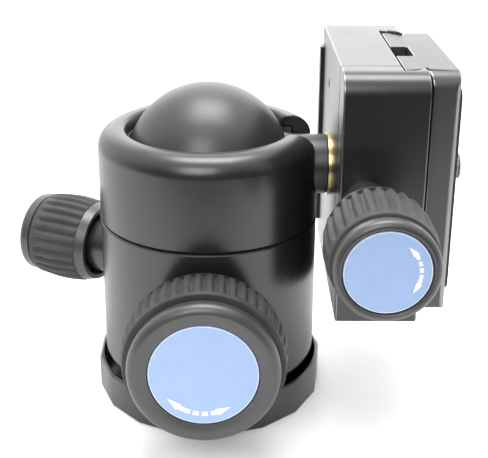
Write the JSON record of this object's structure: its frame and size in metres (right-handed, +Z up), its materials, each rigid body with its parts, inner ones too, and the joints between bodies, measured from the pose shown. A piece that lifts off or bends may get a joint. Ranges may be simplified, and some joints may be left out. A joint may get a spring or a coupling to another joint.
{
  "type": "tripod ball head",
  "caption": "Tripod ball head with panning faceted base, side-lying ball stem in a drop notch, screw clamp and dovetail camera plate.",
  "frame": {"origin": "centre of the tripod thread at the flat bottom face of the pan base", "axes": "+Z up along the pan axis; +X along the ball's stem as it lies in the drop notch; -Y towards the large ball lock knob"},
  "size_m": [0.1022, 0.0837, 0.0802],
  "materials": {
    "black_anodised": "black satin anodised, machined",
    "ball_black": "black hard anodised, fine satin",
    "knob_metal": "dark grey satin anodised, turned",
    "knob_rubber": "matt moulded rubber",
    "pad_rubber": "matt moulded rubber",
    "blue_disc": "light blue anodised",
    "brass_part": "plain turned brass",
    "steel_part": "plain machined steel",
    "bearing_plastic": "moulded low-friction plastic"
  },
  "bodies": {
    "base": {"pan_base": "black_anodised", "pan_spindle": "steel_part", "spindle_flange_screws": "steel_part", "thrust_washer": "bearing_plastic", "retaining_washer": "steel_part", "retaining_ring": "steel_part"},
    "housing": {"housing_barrel": "black_anodised", "housing_collar": "black_anodised", "ball_retaining_ring": "brass_part"},
    "lock_knob": {"ball_lock_spindle": "steel_part", "spindle_clip": "steel_part", "ball_lock_knob_core": "knob_metal", "ball_lock_grip": "knob_rubber", "ball_lock_cap": "knob_metal", "ball_lock_disc": "blue_disc"},
    "wedge": {"lock_wedge": "steel_part"},
    "cup": {"pressure_cup": "brass_part"},
    "pan_knob": {"pan_lock_screw": "steel_part", "pan_knob_core": "knob_metal", "pan_knob_grip": "knob_rubber", "pan_knob_cap": "knob_metal", "pan_knob_disc": "blue_disc"},
    "brake_pin": {"pan_brake_pin": "brass_part"},
    "ball": {"ball_and_stem": "ball_black", "stem_washer": "brass_part"},
    "clamp": {"clamp_base": "black_anodised", "clamp_fixing_screw": "steel_part", "jaw_guide_pins": "steel_part", "jaw_springs": "steel_part"},
    "jaw": {"movable_jaw": "black_anodised", "jaw_thrust_washer": "bearing_plastic"},
    "clamp_knob": {"clamp_screw": "steel_part", "clamp_knob_core": "knob_metal", "clamp_knob_grip": "knob_rubber", "clamp_knob_cap": "knob_metal", "clamp_knob_disc": "blue_disc"},
    "plate": {"quick_release_plate": "black_anodised", "plate_pads": "pad_rubber"},
    "camera_screw": {"camera_screw": "steel_part"}
  },
  "joints": [
    {"name": "pan", "type": "hinge", "parent": "base", "child": "housing", "pos_m": [0, 0, 0], "axis": [0, 0, 1], "continuous": true},
    {"name": "ball_tilt", "type": "hinge", "parent": "housing", "child": "ball", "pos_m": [0, 0, 0.0537], "axis": [0, -1, 0], "range_deg": [0, 125]},
    {"name": "ball_spin", "type": "hinge", "parent": "ball", "child": "clamp", "pos_m": [0, 0, 0.0537], "axis": [-1, 0, 0], "range_deg": [-60, 240]},
    {"name": "ball_lock_turn", "type": "hinge", "parent": "housing", "child": "lock_knob", "pos_m": [0, 0, 0.0234], "axis": [0, 1, 0], "range_deg": [0, 300]},
    {"name": "wedge_slide", "type": "slide", "parent": "housing", "child": "wedge", "axis": [0, -1, 0], "range_m": [0, 0.00083]},
    {"name": "cup_lift", "type": "slide", "parent": "housing", "child": "cup", "axis": [0, 0, 1], "range_m": [0, 0.00012]},
    {"name": "pan_lock_turn", "type": "hinge", "parent": "housing", "child": "pan_knob", "pos_m": [0, 0, 0.0288], "axis": [0.9107, -0.4131, 0], "range_deg": [0, 270]},
    {"name": "brake_pin_slide", "type": "slide", "parent": "housing", "child": "brake_pin", "axis": [0, 0, -1], "range_m": [0, 0.00025]},
    {"name": "jaw_slide", "type": "slide", "parent": "clamp", "child": "jaw", "axis": [0, -1, 0], "range_m": [0, 0.00319]},
    {"name": "clamp_knob_turn", "type": "hinge", "parent": "jaw", "child": "clamp_knob", "pos_m": [0.0323, 0, 0.0537], "axis": [0, -1, 0], "range_deg": [0, 1440]},
    {"name": "plate_slide", "type": "slide", "parent": "clamp", "child": "plate", "axis": [0, 0, 1], "range_m": [-0.008, 0.008]},
    {"name": "camera_screw_turn", "type": "hinge", "parent": "plate", "child": "camera_screw", "pos_m": [0.045, -0.0012, 0.0537], "axis": [1, 0, 0], "continuous": true}
  ],
  "couplings": [
    {"joint": "ball_lock_turn", "follows": "wedge_slide", "rad_per_m": 6283.2},
    {"joint": "cup_lift", "follows": "wedge_slide", "ratio": 0.14054},
    {"joint": "pan_lock_turn", "follows": "brake_pin_slide", "rad_per_m": 18780},
    {"joint": "clamp_knob_turn", "follows": "jaw_slide", "rad_per_m": 7854}
  ]
}
